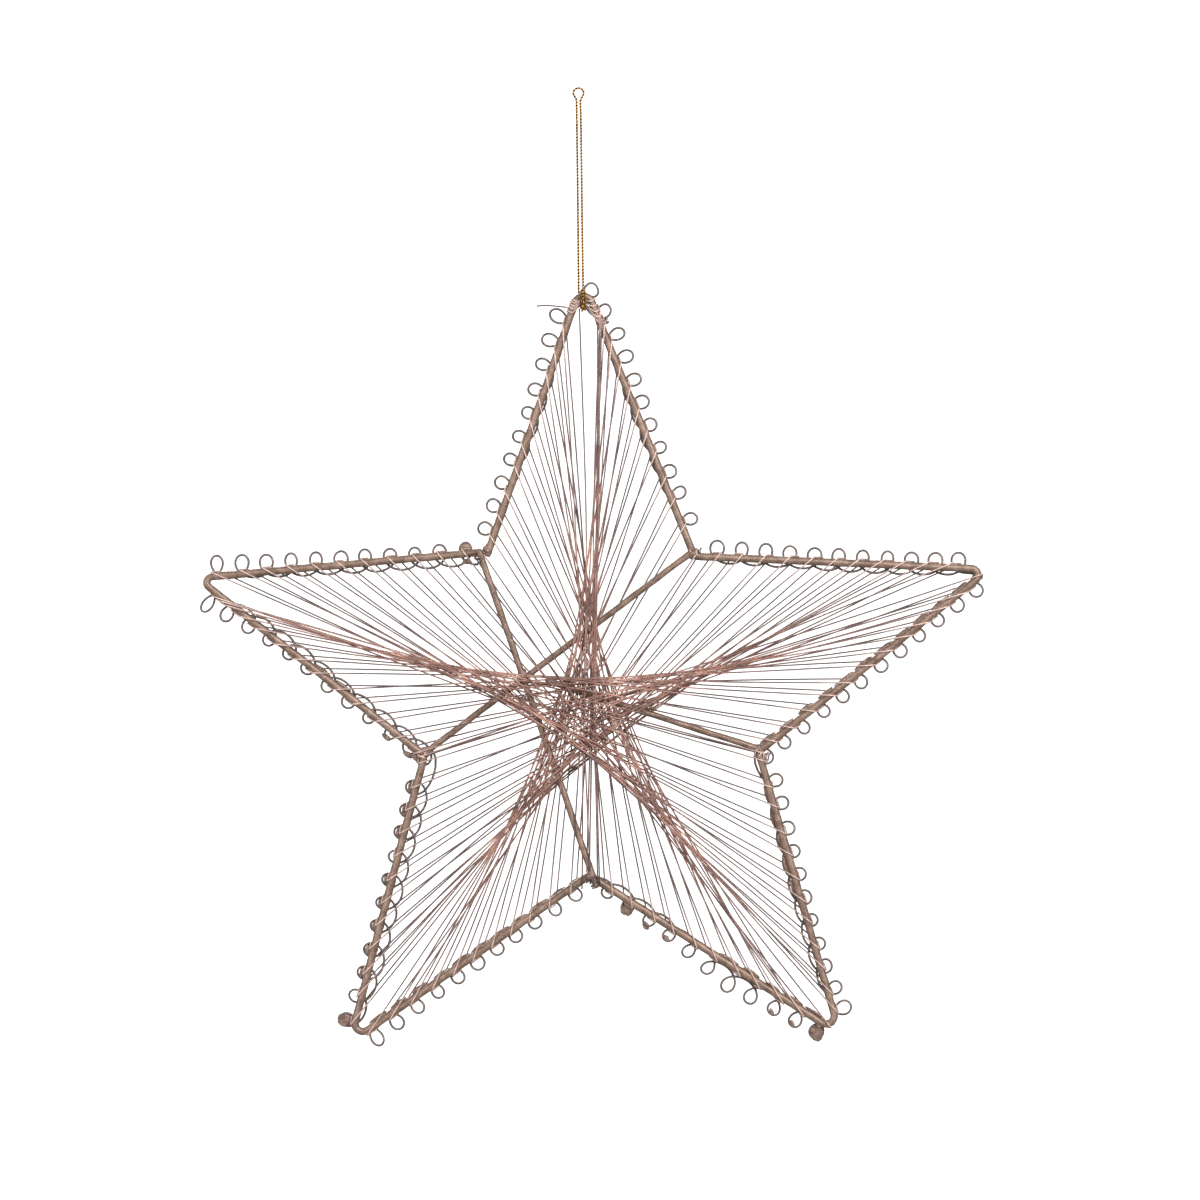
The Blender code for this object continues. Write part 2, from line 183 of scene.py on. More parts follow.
def drawnCopper():
    made, tree, shader = newMaterial("drawn rose copper wire", copperWire["metallic"],
                                     copperWire["roughness"])
    where = addNode(tree, "ShaderNodeTexCoord").outputs["Object"]
    stretches = addNode(tree, "ShaderNodeTexNoise", None, Vector=where,
                        Scale=1 / (copperWire["stretch"] * mm), Detail=3.0, Roughness=0.6)
    grain = addNode(tree, "ShaderNodeTexNoise", None, Vector=where,
                    Scale=1 / (copperWire["grain"] * mm), Detail=2.0)
    both = addNode(tree, "ShaderNodeMix", {"data_type": "FLOAT"}, i0=copperWire["grainShare"],
                   i2=stretches.outputs["Fac"], i3=grain.outputs["Fac"])
    # Painted shade for a lone wire, painted light where many lie together, mixed by how crowded the place
    # is.
    free = colourSteps(tree, both.outputs[0], copperWire["steps"], copperWire["shadedFreeDull"],
                       copperWire["free"], copperWire["shadedFreeHigh"])
    litTogether = colourSteps(tree, both.outputs[0], copperWire["steps"], copperWire["dull"],
                           copperWire["middle"], copperWire["high"])
    crowdedLit = addNode(tree, "ShaderNodeAttribute", {"attribute_name": "crowdedLit"})
    wire = addNode(tree, "ShaderNodeMix", {"data_type": "RGBA"}, i0=crowdedLit.outputs["Fac"],
                   i6=free, i7=litTogether)
    # A painted highlight where the wire wraps the rod.
    wrapHighlight = addNode(tree, "ShaderNodeAttribute", {"attribute_name": "wrapHighlight"})
    colour = addNode(tree, "ShaderNodeMix", {"data_type": "RGBA"}, i0=wrapHighlight.outputs["Fac"],
                     i6=wire.outputs[2], i7=linear(copperWire["paintedHighlight"]))
    tree.links.new(colour.outputs[2], shader.inputs["Base Color"])
    dull = addNode(tree, "ShaderNodeMapRange", None, Value=grain.outputs["Fac"])
    dull.inputs["To Min"].default_value = copperWire["smoothest"]
    dull.inputs["To Max"].default_value = copperWire["roughest"]
    tree.links.new(dull.outputs["Result"], shader.inputs["Roughness"])
    return made


roseCopper = drawnCopper()

# Gold lurex thread: flat metallic film laid round a brown core and twisted in two plies. A glint
# colour is painted on the crown of each ply, and painted shade darkens the grooves between them.
goldThread = {"glint": "#EBB45C", "film": "#996526", "core": "#2E2014", "twist": 1.7, "plies": 2,
              "metallic": 0.8, "roughness": 0.34, "sparkle": 0.3, "plyShare": 0.32,
              "meanReach": 0.86, "crownReach": 0.16, "steps": (0.46, 0.60, 0.82)}


def lurex():
    made, tree, shader = newMaterial("gold lurex thread", goldThread["metallic"], goldThread["roughness"])
    aroundAndAlong = addNode(tree, "ShaderNodeUVMap").outputs["UV"]
    split = addNode(tree, "ShaderNodeSeparateXYZ", None, Vector=aroundAndAlong)
    turned = addNode(tree, "ShaderNodeMath", {"operation": "MULTIPLY"}, i0=split.outputs["X"],
                     i1=math.tau * goldThread["plies"])
    crown = addNode(tree, "ShaderNodeMath", {"operation": "COSINE"}, i0=turned.outputs[0])
    sparkle = addNode(tree, "ShaderNodeTexNoise", None,
                      Vector=addNode(tree, "ShaderNodeTexCoord").outputs["Object"],
                      Scale=1 / (goldThread["sparkle"] * mm), Detail=2.0)
    # The dark core colour is painted shade in the grooves between the plies, the glint colour a painted
    # highlight on their crowns.
    both = addNode(tree, "ShaderNodeMath", {"operation": "MULTIPLY_ADD"}, i0=crown.outputs[0],
                   i1=goldThread["plyShare"], i2=sparkle.outputs["Fac"])
    colour = colourSteps(tree, both.outputs[0], goldThread["steps"], goldThread["core"],
                         goldThread["film"], goldThread["glint"])
    tree.links.new(colour, shader.inputs["Base Color"])
    return made


goldLurex = lurex()
print("materials: paint, copper and gold thread")


# Shaping helpers

def dress(piece, material, slot, *nodes):
    # Gives a finished piece its material, and sets it on the star in place of its CAD nodes.
    piece.data.materials.clear()
    piece.data.materials.append(material)
    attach(piece, "root")
    if nodes:
        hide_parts(*nodes)


def tidyNormals(piece):
    shape = bmesh.new()
    shape.from_mesh(piece.data)
    bmesh.ops.remove_doubles(shape, verts=shape.verts, dist=0.00002 * mm)
    bmesh.ops.recalc_face_normals(shape, faces=shape.faces)
    shape.to_mesh(piece.data)
    shape.free()


def bentWire(name, runs, diameter, resolution=2, swell=None):
    # Wire along one or more runs of points in metres. swell gives each point's thickness, as a
    # share of the diameter.
    bpy.ops.object.select_all(action="DESELECT")
    data = bpy.data.curves.new(name, "CURVE")
    data.dimensions = "3D"
    data.bevel_depth = diameter / 2 * mm
    data.bevel_resolution = resolution
    data.use_fill_caps = True
    for number, run in enumerate(runs):
        spline = data.splines.new("POLY")
        spline.points.add(len(run) - 1)
        for point, place in zip(spline.points, run):
            point.co = (*place, 1.0)
        if swell:
            for point, thickness in zip(spline.points, swell[number]):
                point.radius = thickness
        spline.use_smooth = True
    wire = bpy.data.objects.new(name, data)
    bpy.context.scene.collection.objects.link(wire)
    bpy.context.view_layer.objects.active = wire
    wire.select_set(True)
    bpy.ops.object.convert(target="MESH")
    wire = bpy.context.object
    wire.name = name
    tidyNormals(wire)
    bpy.ops.object.shade_smooth()
    return wire


def smoothRoute(route, spacing):
    # Evenly spaced points on a smooth curve through the route's points.
    padded = [2 * route[0] - route[1]] + route + [2 * route[-1] - route[-2]]
    fineSteps = 24
    fine = []
    for before, start, end, after in zip(padded, padded[1:], padded[2:], padded[3:]):
        for step in range(fineSteps):
            share = step / fineSteps
            fine.append(0.5 * (2 * start + (end - before) * share
                               + (2 * before - 5 * start + 4 * end - after) * share ** 2
                               + (3 * start - before - 3 * end + after) * share ** 3))
    fine.append(route[-1])
    lengths = [0.0]
    for before, here in zip(fine, fine[1:]):
        lengths.append(lengths[-1] + (here - before).length)
    count = max(2, round(lengths[-1] / spacing))
    points = []
    for number in range(count + 1):
        wanted = lengths[-1] * number / count
        at = min(max(bisect.bisect_left(lengths, wanted) - 1, 0), len(fine) - 2)
        step = max(lengths[at + 1] - lengths[at], 1e-9)
        points.append(fine[at].lerp(fine[at + 1], (wanted - lengths[at]) / step))
    return points, lengths[-1]


def twistedThread(name, points, diameter, sides=14):
    # Thread of twisted plies along a row of points in metres. U runs round the plies, V along them.
    shape = bmesh.new()
    around = shape.loops.layers.uv.new("twist")
    heading = (points[1] - points[0]).normalized()
    side = heading.orthogonal().normalized()
    rings = []
    walked = 0.0
    for number, point in enumerate(points):
        ahead = points[min(number + 1, len(points) - 1)] - points[max(number - 1, 0)]
        turned = heading.rotation_difference(ahead.normalized())
        side = (turned @ side).normalized()
        heading = ahead.normalized()
        across = heading.cross(side)
        if number:
            walked += (point - points[number - 1]).length
        twist = math.tau * walked / (goldThread["twist"] * mm)
        ring = []
        for corner in range(sides):
            angle = math.tau * corner / sides
            crown = math.cos(goldThread["plies"] * angle)
            reach = diameter / 2 * mm * (goldThread["meanReach"] + goldThread["crownReach"] * crown)
            spoke = side * math.cos(angle + twist) + across * math.sin(angle + twist)
            ring.append(shape.verts.new(point + spoke * reach))
        rings.append((ring, walked))
    for (ring, start), (nextRing, end) in zip(rings, rings[1:]):
        for corner in range(sides):
            after = (corner + 1) % sides
            face = shape.faces.new((ring[corner], ring[after], nextRing[after], nextRing[corner]))
            places = ((corner, start), (corner + 1, start), (corner + 1, end), (corner, end))
            for loop, (turn, along) in zip(face.loops, places):
                loop[around].uv = (turn / sides, along / (10 * mm))
    shape.faces.new(list(reversed(rings[0][0])))
    shape.faces.new(rings[-1][0])
    bmesh.ops.recalc_face_normals(shape, faces=shape.faces)
    mesh = bpy.data.meshes.new(name)
    shape.to_mesh(mesh)
    shape.free()
    thread = bpy.data.objects.new(name, mesh)
    bpy.context.scene.collection.objects.link(thread)
    for face in mesh.polygons:
        face.use_smooth = True
    return thread


# Hanging thread: doubled, from the knot in front up to the loop and down behind the top point

hangingThread = {
    "diameter": 0.65,
    "route": (
        (1.25, -2.42, -55.00), (1.27, -2.42, -53.80), (1.24, -2.30, -52.20), (1.18, -2.08, -49.00),
        (1.05, -1.62, -40.00), (0.90, -1.05, -28.00), (0.75, -0.52, -16.00), (0.62, -0.18, -8.00),
        (0.54, 0.00, -4.60), (0.58, 0.00, -3.20), (0.97, 0.00, -2.41), (1.40, 0.00, -1.40),
        (0.99, 0.00, -0.41), (0.00, 0.00, 0.00), (-0.99, 0.00, -0.41), (-1.40, 0.00, -1.40),
        (-0.97, 0.00, -2.41), (-0.58, 0.00, -3.20), (-0.52, 0.05, -4.60), (-0.47, 0.30, -8.00),
        (-0.36, 0.90, -16.00), (-0.22, 1.75, -28.00), (-0.10, 2.55, -40.00), (0.00, 3.20, -51.00),
        (0.03, 3.50, -55.80), (0.12, 3.45, -57.45), (0.30, 2.75, -58.55), (0.50, 1.70, -58.90),
        (0.70, 0.60, -58.95), (0.95, -0.75, -58.85),
    ),
}


def addHangingThread():
    route = [Vector(point) * mm for point in hangingThread["route"]]
    points, length = smoothRoute(route, 0.12 * mm)
    thread = twistedThread("hangingThread", points, hangingThread["diameter"])
    dress(thread, goldLurex, "gold_thread", "hanging_thread")
    return thread, points, length


# Knot: the thread's end wound round both strands and drawn tight, in three lumps

threadKnot = {
    "axis": (1.25, -2.45), "top": -54.6, "bottom": -60.3, "turns": 6.5,
    "lumpRadii": (0.55, 0.72, 0.62), "waist": 0.30, "thread": 0.5, "core": 0.9, "steps": 170,
    "uneven": (0.5, 9), "wobble": (0.35, 2.3),       # each: how much, and how fast it comes and goes
}


def addKnot():
    right, back = threadKnot["axis"]
    top, drop = threadKnot["top"], threadKnot["bottom"] - threadKnot["top"]
    (uneven, unevenRate), (wobble, wobbleRate) = threadKnot["uneven"], threadKnot["wobble"]
    steps = threadKnot["steps"]
    lumps = len(threadKnot["lumpRadii"])
    points = []
    for step in range(steps + 1):
        share = step / steps
        lump = min(int(share * lumps), lumps - 1)
        swell = math.sin(math.pi * (share * lumps - lump))
        radius = threadKnot["waist"] + (threadKnot["lumpRadii"][lump] - threadKnot["waist"]) * swell
        angle = math.tau * threadKnot["turns"] * share + uneven * math.sin(unevenRate * share)
        height = top + drop * share
        points.append(Vector((right + radius * math.cos(angle), back + radius * math.sin(angle),
                              height + wobble * math.sin(wobbleRate * angle))) * mm)
    knot = twistedThread("threadKnot", points, threadKnot["thread"], sides=10)
    core = [Vector((right, back, top + drop * share)) * mm for share in (0.02, 0.2, 0.4, 0.6, 0.8, 0.98)]
    coreThread = twistedThread("knotCore", smoothRoute(core, 0.15 * mm)[0], threadKnot["core"], sides=10)
    bpy.ops.object.select_all(action="DESELECT")
    coreThread.select_set(True)
    knot.select_set(True)
    bpy.context.view_layer.objects.active = knot
    bpy.ops.object.join()
    dress(knot, goldLurex, "gold_thread", "hanging_knot")
    return knot


thread, threadPoints, threadLength = addHangingThread()
knot = addKnot()
print("hanging thread:", round(threadLength / mm, 1), "mm long")


# Frame rod

star = {
    "centre": (3.4, -165.1), "lean": 0.6, "pointRadius": 112.7, "innerRadius": 47.8,
    "pointBends": (2.4, 1.8, 2.2, 2.2, 1.6), "innerBend": 1.6, "rod": 2.12,
    # How far right and up the bender left each corner, clockwise from the top point.
    "handBends": ((-1.0, 0.4), (0.2, -0.3), (0.8, -0.8), (-0.4, 0.2), (0.0, 0.1),
                  (-1.0, 0.3), (0.1, -0.8), (0.3, 0.2), (1.2, -0.9), (-0.1, 1.5)),
    # The rod's two cut ends, at the upper left inner corner: below the top point's side, and at the
    # end of the left point's side.
    "cutEnds": ((486.6, 556.5), (481.0, 552.3)),
}
upperLeft = 9        # the inner corner with the cut ends, counted clockwise from the top point


def starCorners():
    corners = []
    for number, bend in enumerate(star["handBends"]):
        angle = math.radians(90 + star["lean"] - 36 * number)
        radius = star["innerRadius"] if number % 2 else star["pointRadius"]
        corners.append(Vector(star["centre"]) + Vector((math.cos(angle), math.sin(angle))) * radius
                       + Vector(bend))
    return corners


def roundedCorner(before, corner, after, radius, step):
    # Points round a bend between two straight sides.
    towards, away = (corner - before).normalized(), (after - corner).normalized()
    turn = math.atan2(towards.cross(away), towards.dot(away))
    reach = radius * math.tan(abs(turn) / 2)
    start = corner - towards * reach
    heading = math.atan2(towards.y, towards.x)
    sign = 1 if turn > 0 else -1
    middle = start + Vector((-math.sin(heading), math.cos(heading))) * radius * sign
    count = max(3, round(abs(turn) * radius / step))
    points = []
    for number in range(count + 1):
        angle = heading - sign * math.pi / 2 + turn * number / count
        points.append(middle + Vector((math.cos(angle), math.sin(angle))) * radius)
    return points


def rodAxis(step=0.5):
    # The rod's axis clockwise from its cut end at the upper left corner, as closely spaced points.
    corners = starCorners()
    order = [(upperLeft + 1 + i) % 10 for i in range(9)]
    startEnd, finishEnd = [fromPhoto(*pixel) for pixel in star["cutEnds"]]
    outline = [startEnd]
    for number in order:
        radius = star["innerBend"] if number % 2 else star["pointBends"][number // 2]
        before, after = corners[number - 1], corners[(number + 1) % 10]
        outline += roundedCorner(before, corners[number], after, radius, step)
    outline.append(finishEnd)
    points = [outline[0]]
    for here in outline[1:]:
        gap = here - points[-1]
        pieces = max(1, round(gap.length / step))
        start = points[-1]
        points += [start + gap * (piece / pieces) for piece in range(1, pieces + 1)]
    return points


axisPoints = rodAxis()
axisLengths = [0.0]
for earlier, later in zip(axisPoints, axisPoints[1:]):
    axisLengths.append(axisLengths[-1] + (later - earlier).length)
rodLength = axisLengths[-1]


def onRod(distance):
    # The place at a distance along the rod's axis, and the direction away from the star there.
    at = min(max(bisect.bisect_right(axisLengths, distance) - 1, 0), len(axisPoints) - 2)
    stretch = axisPoints[at + 1] - axisPoints[at]
    share = (distance - axisLengths[at]) / stretch.length
    ahead = stretch.normalized()
    return axisPoints[at] + stretch * share, Vector((-ahead.y, ahead.x))


def nearestOnRod(flat):
    best = min(range(len(axisPoints)), key=lambda i: (axisPoints[i] - flat).length_squared)
    _, outward = onRod(axisLengths[best])
    along = Vector((outward.y, -outward.x))
    return axisLengths[best] + (flat - axisPoints[best]).dot(along)


frameRod = {
    "wander": 0.10, "wanderLength": 9.0, "swell": 0.07, "swellLength": 5.0, "lump": 0.05,
    "lumpLength": 1.6, "spacing": 0.6,
    "cutEnd": 0.80, "cutEndTaper": 0.25,     # the thickness at a cut end, and its growth with each mm
}


def paintSkin(where):
    # Noise in three layers, each about twice as fine as the last.
    return noise.fractal(where, 0.9, 2.1, 3)


def roughWire(piece, height, size, seed):
    # Moves the surface in and out a little, as unevenly dried paint does.
    for vertex in piece.data.vertices:
        where = vertex.co / (size * mm) + Vector((seed, 0, 0))
        vertex.co += vertex.normal * paintSkin(where) * height * mm


def addFrameRod():
    run = []
    swell = []
    count = int(rodLength / frameRod["spacing"])
    for number in range(count + 1):
        distance = rodLength * number / count
        flat, outward = onRod(distance)
        spot = Vector((distance / frameRod["wanderLength"], 3.1, 0))
        flat = flat + outward * noise.noise(spot) * frameRod["wander"]
        depth = noise.noise(spot + Vector((0, 5, 0))) * frameRod["wander"]
        run.append(placed(flat, depth))
        thick = 1 + noise.noise(Vector((distance / frameRod["swellLength"], 8, 0))) * frameRod["swell"]
        fromEnd = min(distance, rodLength - distance)
        swell.append(thick * min(1.0, frameRod["cutEnd"] + frameRod["cutEndTaper"] * fromEnd))
    rod = bentWire("frameRod", [run], star["rod"], resolution=5, swell=[swell])
    roughWire(rod, frameRod["lump"], frameRod["lumpLength"], 2.0)
    dress(rod, framePaintOnSteel, "frame_paint", "star_frame_rod")


addFrameRod()
print("frame rod:", round(rodLength), "mm of rod")


# Struts

struts = {
    "diameter": 1.8,
    "frontDepth": -2.1,
    "frontEnds": ((478.3, 548.5), (597.0, 887.5)),
    "crossEnds": ((694.5, 550.0), (423.5, 754.0)),
    "shortEnds": ((761.0, 749.5), (545.0, 680.0)),
    "spacing": 0.6, "wander": 0.15, "wanderLength": 11, "swell": 0.06, "swellRate": 2.5,
    "roundedEnd": 0.9, "bluntEnd": 0.05, "lump": 0.05, "lumpLength": 1.6,
}


def addStrut(name, ends, depths, node, seed):
    start, end = [fromPhoto(*pixel) for pixel in ends]
    length = (end - start).length
    count = round(length / struts["spacing"])
    across = Vector(((end - start).y, -(end - start).x)).normalized()
    run = []
    swell = []
    for number in range(count + 1):
        share = number / count
        spot = Vector((share * length / struts["wanderLength"], seed, 0))
        flat = start.lerp(end, share) + across * (noise.noise(spot) * struts["wander"])
        run.append(placed(flat, depths[0] + (depths[1] - depths[0]) * share))
        fromEnd = min(share, 1 - share) * length
        rounded = math.sqrt(max(struts["bluntEnd"], 1 - max(0, 1 - fromEnd / struts["roundedEnd"]) ** 2))
        swell.append(rounded * (1 + noise.noise(spot * struts["swellRate"]) * struts["swell"]))
    strut = bentWire(name, [run], struts["diameter"], resolution=5, swell=[swell])
    roughWire(strut, struts["lump"], struts["lumpLength"], seed)
    dress(strut, framePaintOnSteel, "frame_paint", node)


addStrut("frontStrut", struts["frontEnds"], (struts["frontDepth"], struts["frontDepth"]), "strut_1", 11)
addStrut("crossStrut", struts["crossEnds"], (-0.1, 0.0), "strut_2", 23)
addStrut("shortStrut", struts["shortEnds"], (0.0, 0.0), "strut_3", 37)
print("struts: three")


# Looped trim wire. Each side lists its loops as they stand in the photograph, clockwise. Its other
# lists are evenly spaced values from the side's start to its end: how far the middle of a loop
# stands out from the rod, how far past a loop the winding wire turns round the rod, and how tall
# and how wide a loop is, as a share of the trim's usual size.

sides = (
    {"loops": ((483, 528), (492, 505), (500, 482), (510, 459), (518, 436), (527, 412), (534, 389),
               (543, 364), (550, 340), (557, 315)),
     "stand": (1.5, 1.4, 1.0, 0.85, 1.8, 2.6), "turn": (-1.5, -1.5), "tall": (1.0, 1.1)},
    {"loops": ((590.5, 290), (606.5, 309.5), (617, 334), (626, 356), (635, 379), (641, 402), (651, 424),
               (660, 447), (671, 471), (676, 493), (692, 519)),
     "stand": (0.2, 2.5, 1.8, 1.3, 1.5, 2.1), "turn": (5.2, 0.9, 1.3, 1.1, 0.9, 0.6),
     "tall": (1.06, 1.1, 1.0)},
    {"loops": ((717, 549), (742, 550), (766, 552), (790, 554), (815, 555), (839, 556), (863, 557),
               (888, 558), (912, 559), (936, 560), (959, 561)),
     "stand": (1.5, 1.2, 0.8, 0.65, 0.65, 1.15), "turn": (1.0, -2.0), "tall": (1.12, 1.12)},
    {"loops": ((976, 589), (957, 604), (938, 620), (920, 636), (900, 650), (882, 666), (861, 682),
               (843, 696), (825, 712), (805, 729), (785, 743), (766, 756)),
     "stand": (1.45, 1.2, 1.5, 1.5, 1.5, 1.6), "turn": (1.5, 1.5)},
    {"loops": ((777, 780), (785, 802), (790, 828), (795, 851), (801, 874), (807, 897), (813, 920),
               (820, 944), (827, 966), (836, 988), (847, 1007)),
     "stand": (1.6, 1.0, 0.5, 0.3, 0.5, 2.4), "turn": (1.4, 1.4)},
    {"loops": ((817, 1032), (796, 1020), (775, 1008), (752, 995), (729, 984), (709, 966), (689, 951),
               (670, 934), (649, 921), (627, 908), (607, 893)),
     "stand": (2.1, 3.0, 4.3, 2.1, 0.65, 0.3), "turn": (-1.4, -1.4)},
    {"loops": ((575, 894), (554, 908), (534, 921), (514, 934), (496, 947), (476, 961), (457, 976),
               (437, 991), (417, 1006), (397, 1023), (377, 1039)),
     "stand": (1.4, 1.2, 1.2, 1.3, 1.6, 2.3), "turn": (1.4, 1.4), "tall": (1.0, 1.02, 1.16)},
    {"loops": ((345, 1020), (355, 996), (364, 973), (370, 950), (376, 926), (382, 903), (389, 880),
               (395, 857), (400, 832), (405, 810), (412, 787)),
     "stand": (1.4, -0.35, -0.45, -0.45, -0.45, -0.4), "turn": (-0.3, -0.3), "tall": (1.15, 1.18)},
    {"loops": ((423, 758), (408, 750), (390, 734), (368, 718), (347, 703), (326, 688), (307, 668),
               (289, 653), (269, 639), (249, 625), (227, 613), (209, 602)),
     "stand": (0.15, 0.0, 0.5, -0.3, 0.4, 3.1), "turn": (-1.5, -1.5, -1.5, -1.5, -1.8, -3.4),
     "tall": (1.0, 1.02, 1.18), "wide": (1.0, 1.0, 1.0, 1.0, 1.0, 0.82)},
    {"loops": ((216, 562), (241.5, 561), (265.6, 560), (290.5, 559), (315.4, 558), (340.6, 557),
               (364.5, 556), (389.8, 555), (414.5, 554), (439.3, 553), (466.0, 552)),
     "stand": (2.5, 1.6, 0.95, 0.5, 0.0, -0.1), "turn": (-1.0, -1.0), "tall": (1.14, 1.14)},
)
trim = {"wire": 0.66, "halfWidth": 3.2, "halfHeight": 2.65, "sway": 0.3, "depth": 1.6, "steps": 28,
        "cornerGap": 6.0, "handmade": 0.05, "blendFrom": 0.38, "blendOver": 0.24}


def spread(values, share):
    # A value between the evenly spaced values of a list.
    place = min(max(share, 0), 1) * (len(values) - 1)
    at = min(int(place), len(values) - 2)
    return values[at] + (values[at + 1] - values[at]) * (place - at)


def standingLoops():
    # Each loop's place on its side and along the rod, its stand and its own hand-made difference.
    found = []
    corners = starCorners()
    handmade = trim["handmade"]
    for sideNumber, side in enumerate(sides):
        start, end = corners[sideNumber - 1], corners[sideNumber]
        forward = (end - start).normalized()
        for number, pixel in enumerate(side["loops"]):
            share = number / (len(side["loops"]) - 1)
            middle = fromPhoto(*pixel)
            found.append({
                "side": sideNumber,
                "foot": start + forward * (middle - start).dot(forward),
                "forward": forward,
                "outward": Vector((-forward.y, forward.x)),
                "distance": nearestOnRod(middle),
                "stand": spread(side["stand"], share),
                "turn": spread(side["turn"], share),
                "width": spread(side.get("wide", (1, 1)), share) + random.uniform(-handmade, handmade),
                "height": spread(side.get("tall", (1, 1)), share) + random.uniform(-handmade, handmade),
            })
    return found


loops = standingLoops()


def besideLoop(loop, stand, gap, share):
    # The trim wire's place some share of the way from a loop to the next, drawn from this loop.
    angle = math.tau * share
    out = stand + trim["halfHeight"] * loop["height"] * math.cos(angle)
    along = gap * share - trim["halfWidth"] * loop["width"] * math.sin(angle)
    return loop["foot"] + loop["outward"] * out + loop["forward"] * along


def onTrim(number, share):
    # The trim wire's place between two loops, drawn from both, so that it also turns the corners.
    here, after = loops[number], loops[min(number + 1, len(loops) - 1)]
    gap = (after["foot"] - here["foot"]).length
    if here["forward"] != after["forward"] or here is after:
        gap = trim["cornerGap"]
    stand = here["stand"] + (after["stand"] - here["stand"]) * share
    flat = besideLoop(here, stand, gap, share)
    if here is not after:
        ease = min(max((share - trim["blendFrom"]) / trim["blendOver"], 0), 1)
        flat = flat.lerp(besideLoop(after, stand, gap, share - 1), ease * ease * (3 - 2 * ease))
    return flat, trim["depth"] + trim["sway"] * math.sin(math.tau * share)


def onTrimStart(share):
    # The wire's own start, half a turn before the first loop.
    return besideLoop(loops[0], loops[0]["stand"], trim["cornerGap"], share), trim["depth"]


def addTrim():
    halfWay = trim["steps"] // 2
    run = [placed(*onTrimStart(step / trim["steps"])) for step in range(-halfWay, 0)]
    for number in range(len(loops) - 1):
        run += [placed(*onTrim(number, step / trim["steps"])) for step in range(trim["steps"])]
    run += [placed(*onTrim(len(loops) - 1, step / trim["steps"])) for step in range(halfWay + 1)]
    wire = bentWire("loopedTrim", [run], trim["wire"], resolution=2)
    dress(wire, trimPaintOnWire, "trim_paint", "looped_trim_wire")


addTrim()
print("looped trim wire:", len(loops), "loops")


# Winding wire: one long wire, in front from each turn to the one opposite, and back behind

winding = {
    "wire": 0.42,
    "pileStep": 0.045,         # each run lies this much over the one wound before it
    "pileReach": 26.0,         # and sinks back to the rod within this distance of its ends
    "backDepth": 2.0,
    "loopShift": 2.1,          # from where it comes in front to where it leaves behind
    "cornerShift": 0.9,
    # The painted highlight on the wraps: full nearer the rod's axis than the first, none beyond the second.
    "wrapHighlight": (1.4, 2.4),      # bright nearer the rod's axis than the first, dull beyond the second
    "frontDepth": 0.4,         # what lies deeper is behind the rod
    "behindShine": 0.4,        # and is only this share as bright
    "endStray": 0.45,
    "sideStray": 0.75,
    "endGap": 0.5,             # no turn is nearer than this to a cut end of the rod
    "quarterTurn": (8, 30, 52, 74, 90),             # where a turn round the rod has points, in degrees
    "leastSlant": 0.22,        # a run nearly along the rod is turned as if it left it this steeply
    "parts": 14,               # a run has a point after each of this many equal parts,
    "endStop": 1.2,            # one this near to each turn, so that the turns stay tight,
    "strutStops": (-1.6, -0.8, 0, 0.8, 1.6),        # and these round the place where it crosses the strut
    "strutRest": 0.4,          # a run lies on the strut this far to each side of the middle
    # Each run is counted in the squares it passes, once for each half square of its length. With
    # fewer than the first count round a place the wires get the painted shade of a lone wire, with
    # more than the second the painted light of crowded wires.
    "crowdCell": 1.5,
    "crowd": (18, 60),
}
wrapRadius = star["rod"] / 2 + winding["wire"] / 2
strutTop = -struts["frontDepth"] + struts["diameter"] / 2 + winding["wire"] / 2
# Turns that no loop holds, at the corners just before each side.
cornerTurns = {
    0: ((486.0, 556.0),),
    2: ((697.0, 557.0),),
    3: ((983.0, 574.0),),
    4: ((758.5, 751.0),),
    6: ((593.0, 878.0), (587.0, 878.0)),
    8: ((424.0, 756.0),),
    9: ((217.0, 602.5), (212.0, 598.0)),
}


def turningPlaces():
    # Where the wire comes to the rod in front and leaves it behind, clockwise, as distances along
    # it. It goes behind a loop from one side of its foot to the other.
    found = []
    count = 0
    for number, side in enumerate(sides):
        for pixel in cornerTurns.get(number, ()):
            distance = nearestOnRod(fromPhoto(*pixel))
            found.append((distance, distance + winding["cornerShift"]))
        for _ in side["loops"]:
            loop = loops[count]
            shift = winding["loopShift"] * (-1 if loop["turn"] > 0.4 else 1)
            front = loop["distance"] + loop["turn"] + random.uniform(-1, 1) * winding["endStray"]
            found.append((front, front + shift + random.uniform(-1, 1) * winding["endStray"]))
            count += 1
    first, last = winding["endGap"], rodLength - winding["endGap"]
    return [(min(max(front, first), last), min(max(behind, first), last)) for front, behind in found]


def crossingShare(start, end):
    # Where a run passes over the front strut, as a share of the run, or nothing.
    strutStart, strutEnd = [fromPhoto(*pixel) for pixel in struts["frontEnds"]]
    along, strutAlong = end - start, strutEnd - strutStart
    slant = along.cross(strutAlong)
    if abs(slant) < 1e-6:
        return None
    share = (strutStart - start).cross(strutAlong) / slant
    onStrut = (strutStart - start).cross(along) / slant
    return share if 0.02 < share < 0.98 and -0.01 < onStrut < 1.01 else None


